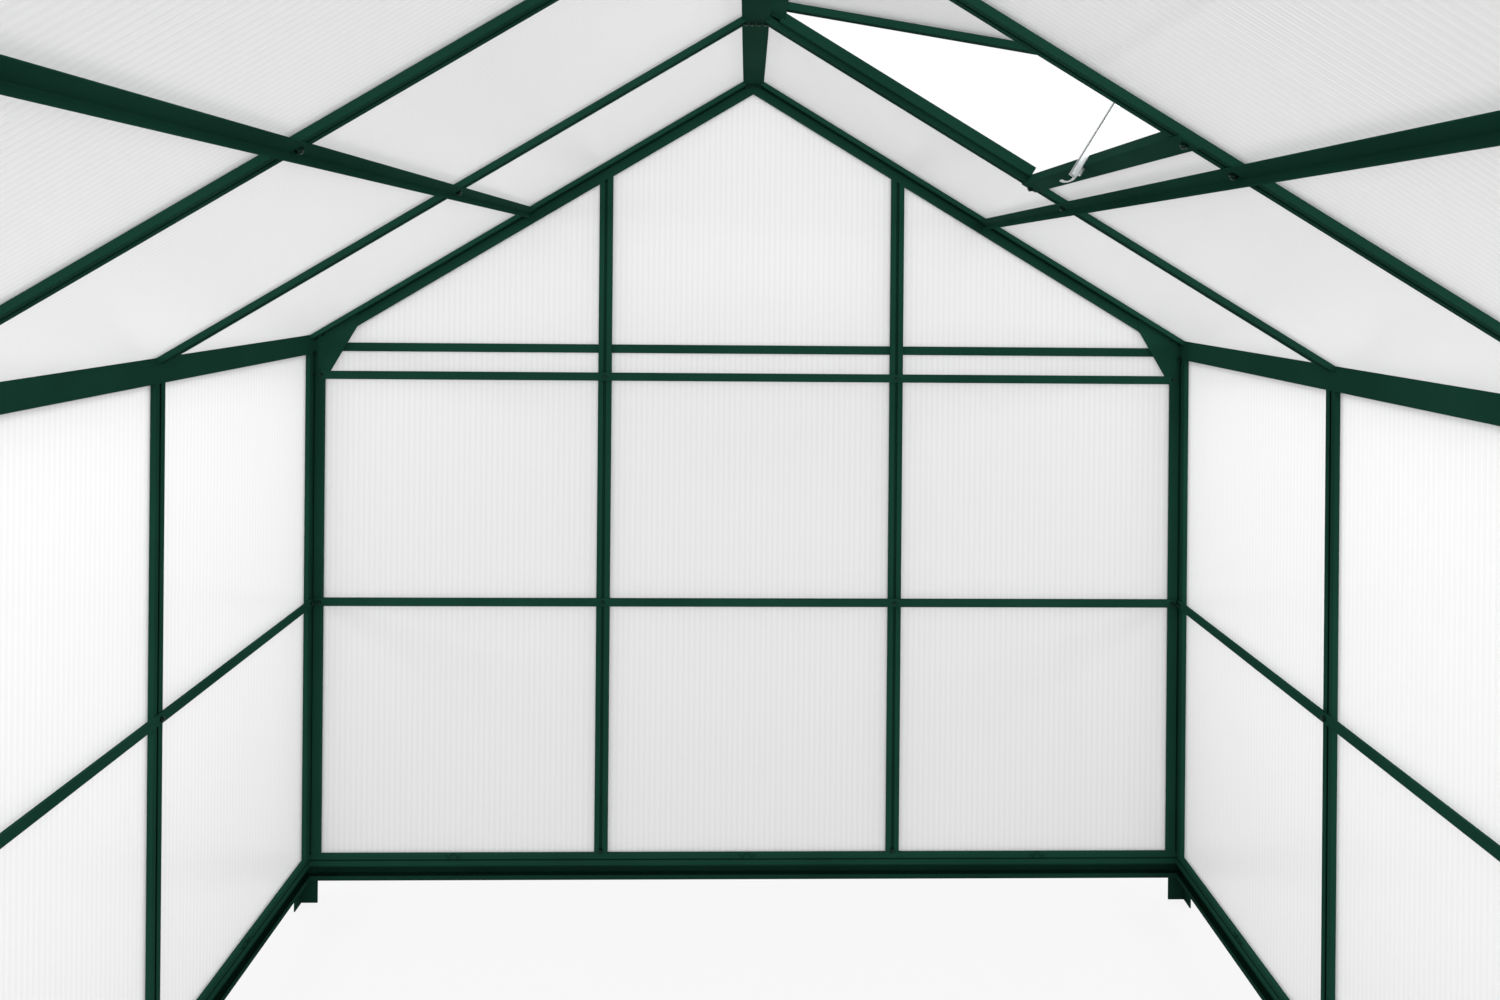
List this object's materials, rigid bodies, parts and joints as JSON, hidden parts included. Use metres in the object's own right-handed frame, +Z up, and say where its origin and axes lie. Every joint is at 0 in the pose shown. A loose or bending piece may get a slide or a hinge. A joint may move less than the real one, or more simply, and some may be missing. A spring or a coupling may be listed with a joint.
{
  "type": "polycarbonate greenhouse",
  "caption": "Small walk-in greenhouse with a dark green aluminium frame, twin-wall polycarbonate sheets, an open roof vent and a sliding door.",
  "frame": {"origin": "centre of the footprint, at the foot of the corner stakes", "axes": "+X to the right seen from the doorway, +Y to the back gable, +Z up"},
  "size_m": [1.929, 2.5264, 1.775],
  "materials": {
    "green_aluminium": "satin powder coat",
    "green_steel": "satin powder coat",
    "polycarbonate": "fluted translucent",
    "stay_metal": "mill",
    "nylon": "moulded"
  },
  "bodies": {
    "root": {"base_channels_gable": "green_steel", "base_channels_side": "green_steel", "corner_stakes": "green_steel", "sills_gable": "green_aluminium", "sills_side": "green_aluminium", "corner_posts": "green_aluminium", "back_mullions": "green_aluminium", "door_jambs": "green_aluminium", "left_studs": "green_aluminium", "right_studs": "green_aluminium", "back_rafters": "green_aluminium", "front_rafters": "green_aluminium", "ridge_beam": "green_aluminium", "eave_beam_left": "green_aluminium", "eave_beam_right": "green_aluminium", "left_roof_bars": "green_aluminium", "right_roof_bars": "green_aluminium", "roof_purlins": "green_aluminium", "side_girts": "green_aluminium", "back_rails": "green_aluminium", "front_rails": "green_aluminium", "back_joint_strips": "green_aluminium", "front_joint_strips": "green_aluminium", "door_head": "green_aluminium", "eave_gussets": "green_aluminium", "back_wall_sheets": "polycarbonate", "back_gable_sheets": "polycarbonate", "front_wall_sheets": "polycarbonate", "front_gable_sheets": "polycarbonate", "left_wall_sheets": "polycarbonate", "right_wall_sheets": "polycarbonate", "left_roof_sheets": "polycarbonate", "right_roof_sheets": "polycarbonate", "vent_sill": "green_aluminium", "vent_curbs": "green_aluminium", "vent_sash_stiles": "green_aluminium", "vent_sash_rails": "green_aluminium", "vent_sheet": "polycarbonate", "vent_stay": "stay_metal", "door_track": "green_aluminium", "track_strut": "green_aluminium", "door_guide": "green_aluminium", "door_stiles": "green_aluminium", "door_rails": "green_aluminium", "door_sheets": "polycarbonate", "door_hangers": "green_aluminium", "door_rollers": "nylon"}
  },
  "joints": []
}
